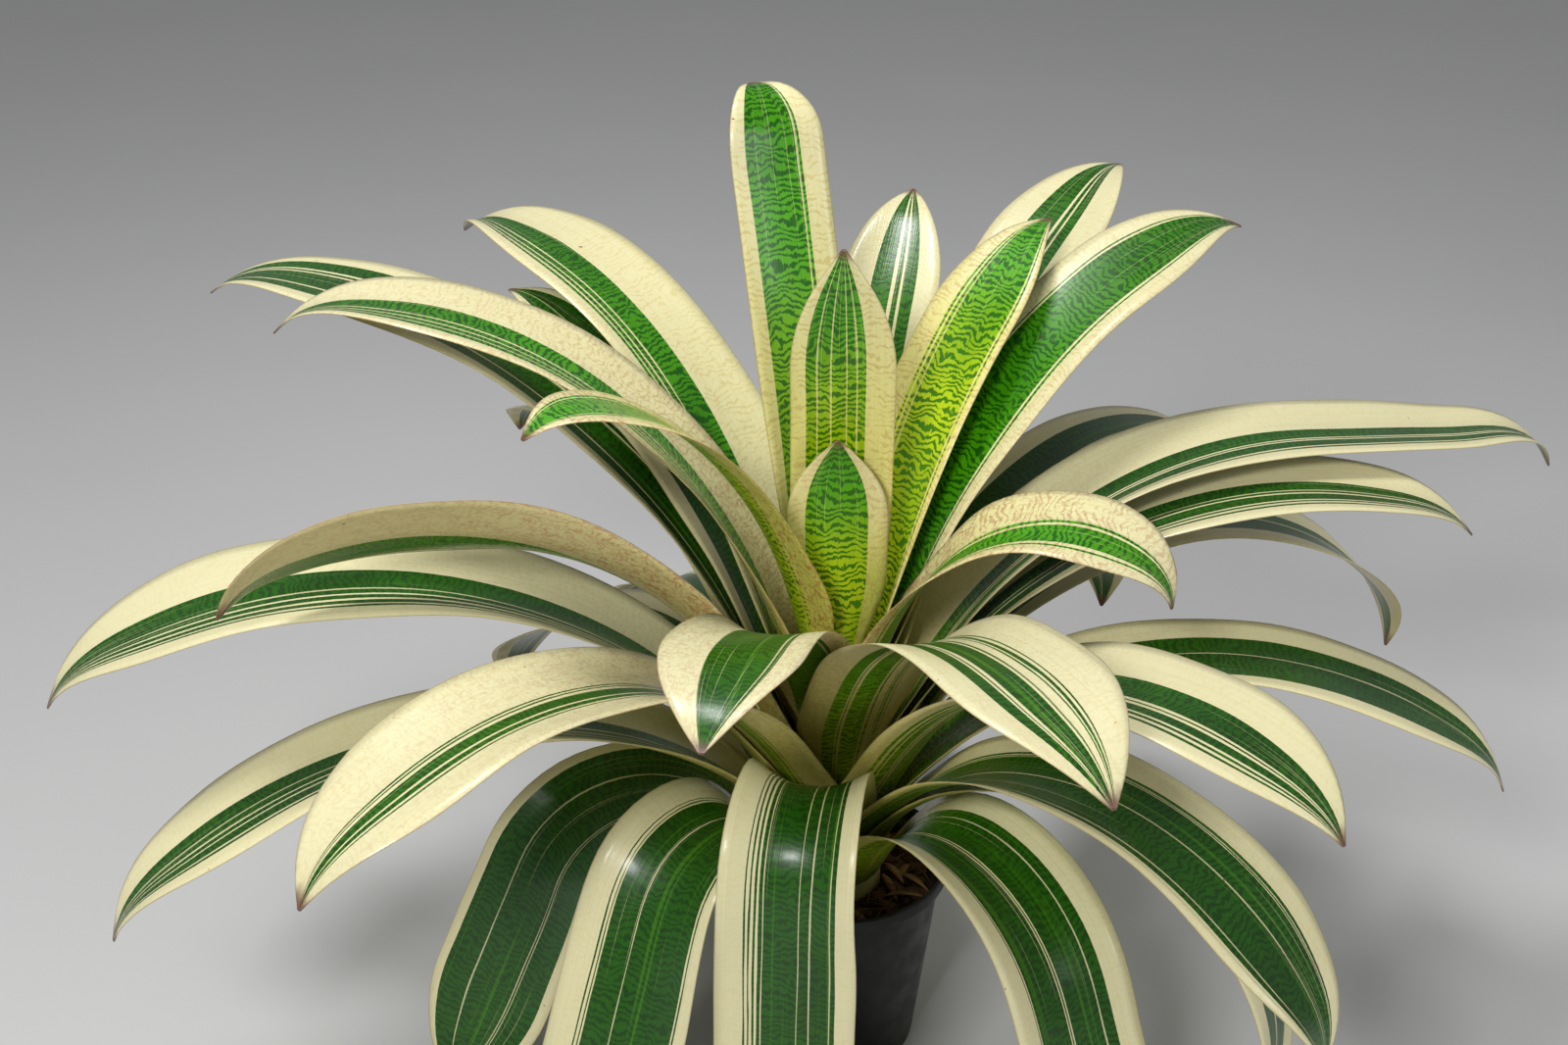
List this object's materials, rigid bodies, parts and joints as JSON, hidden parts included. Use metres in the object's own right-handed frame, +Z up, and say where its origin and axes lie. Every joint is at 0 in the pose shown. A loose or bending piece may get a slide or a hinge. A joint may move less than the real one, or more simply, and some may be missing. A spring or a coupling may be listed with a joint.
{
  "type": "potted bromeliad",
  "caption": "Variegated bromeliad in a round black nursery pot: a nested rosette of arching strap leaves, striped green and cream, over potting mix and bark.",
  "frame": {"origin": "centre of the pot's flat underside, on the surface it stands on", "axes": "+Z up along the pot's axis, -Y towards the front of the plant, +X to its right"},
  "size_m": [0.7601, 0.5806, 0.5092],
  "materials": {
    "pot_plastic": "satin",
    "potting_mix": "matte",
    "bark": "matte",
    "stem": "matte",
    "leaf_cream": "satin",
    "leaf_green": "satin",
    "leaf_young": "satin"
  },
  "bodies": {
    "root": {"pot": "pot_plastic", "potting_mix": "potting_mix", "bark_mulch": "bark", "stem": "stem", "leaf_left_hanging": "leaf_green", "leaf_front_left_hanging": "leaf_green", "leaf_front_right_hanging": "leaf_green", "leaf_back_hanging": "leaf_green", "leaf_back_left_hanging": "leaf_cream", "leaf_back_right_hanging": "leaf_green", "leaf_right_hanging": "leaf_cream", "leaf_back_left_low": "leaf_green", "leaf_front_right_low": "leaf_green", "leaf_left_front_low": "leaf_cream", "leaf_front_hanging": "leaf_green", "leaf_right_low": "leaf_green", "leaf_right_front_middle": "leaf_cream", "leaf_left_long": "leaf_cream", "leaf_front_left_middle": "leaf_cream", "leaf_back_middle": "leaf_green", "leaf_right_back_low": "leaf_cream", "leaf_back_right_shaded": "leaf_green", "leaf_back_left_middle": "leaf_green", "leaf_left_curled": "leaf_cream", "leaf_right_long": "leaf_cream", "leaf_right_back_long": "leaf_cream", "leaf_right_front_upper": "leaf_cream", "leaf_left_back_long": "leaf_cream", "leaf_back_left_shaded": "leaf_green", "leaf_front_young": "leaf_cream", "leaf_back_right_tall": "leaf_green", "leaf_back_left_upper": "leaf_cream", "leaf_right_tall": "leaf_green", "leaf_left_upper": "leaf_cream", "leaf_right_young": "leaf_cream", "leaf_back_tall": "leaf_green", "leaf_crown_right": "leaf_young", "leaf_left_young": "leaf_young", "leaf_crown_back": "leaf_green", "leaf_crown_middle": "leaf_young", "leaf_heart": "leaf_young"}
  },
  "joints": []
}
